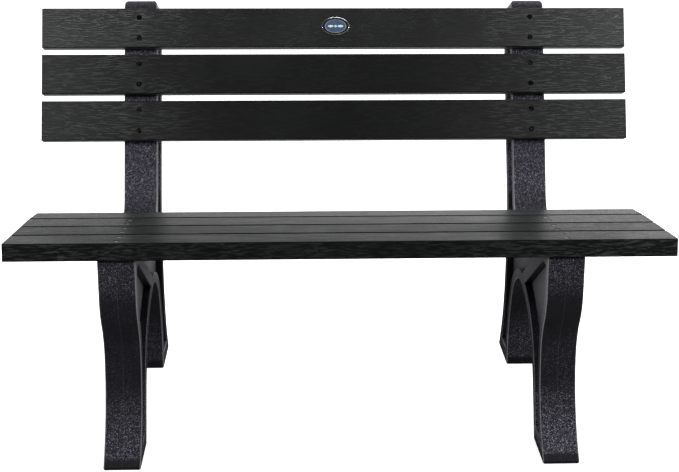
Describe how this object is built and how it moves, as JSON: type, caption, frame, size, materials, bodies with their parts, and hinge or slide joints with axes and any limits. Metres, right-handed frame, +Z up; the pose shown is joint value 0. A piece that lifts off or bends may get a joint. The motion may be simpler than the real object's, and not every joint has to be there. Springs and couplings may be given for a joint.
{
  "type": "park bench",
  "caption": "Park bench with a leaning back: recycled-plastic planks screwed to two one-piece moulded end frames with arched legs.",
  "frame": {"origin": "on the floor, under the middle of the bench's length and depth", "axes": "+X along the bench, +Y from the sitter's knees to the back, +Z up"},
  "size_m": [1.2192, 0.6901, 0.7812],
  "materials": {
    "frame_plastic": "pebbled dark charcoal moulding",
    "plank_plastic": "black with an embossed wood grain",
    "screw_steel": "darkened steel, satin",
    "badge_metal": "polished rim, satin sprig",
    "badge_blue": "steel-blue enamel"
  },
  "bodies": {
    "root": {"left_end_frame": "frame_plastic", "right_end_frame": "frame_plastic", "seat_plank_front": "plank_plastic", "screws_seat_front": "screw_steel", "seat_plank_front_middle": "plank_plastic", "screws_seat_front_middle": "screw_steel", "seat_plank_rear_middle": "plank_plastic", "screws_seat_rear_middle": "screw_steel", "seat_plank_rear": "plank_plastic", "screws_seat_rear": "screw_steel", "back_slat_lower": "plank_plastic", "screws_back_lower": "screw_steel", "back_slat_middle": "plank_plastic", "screws_back_middle": "screw_steel", "back_slat_upper": "plank_plastic", "screws_back_upper": "screw_steel", "badge_body": "badge_metal", "badge_enamel": "badge_blue"}
  },
  "joints": []
}
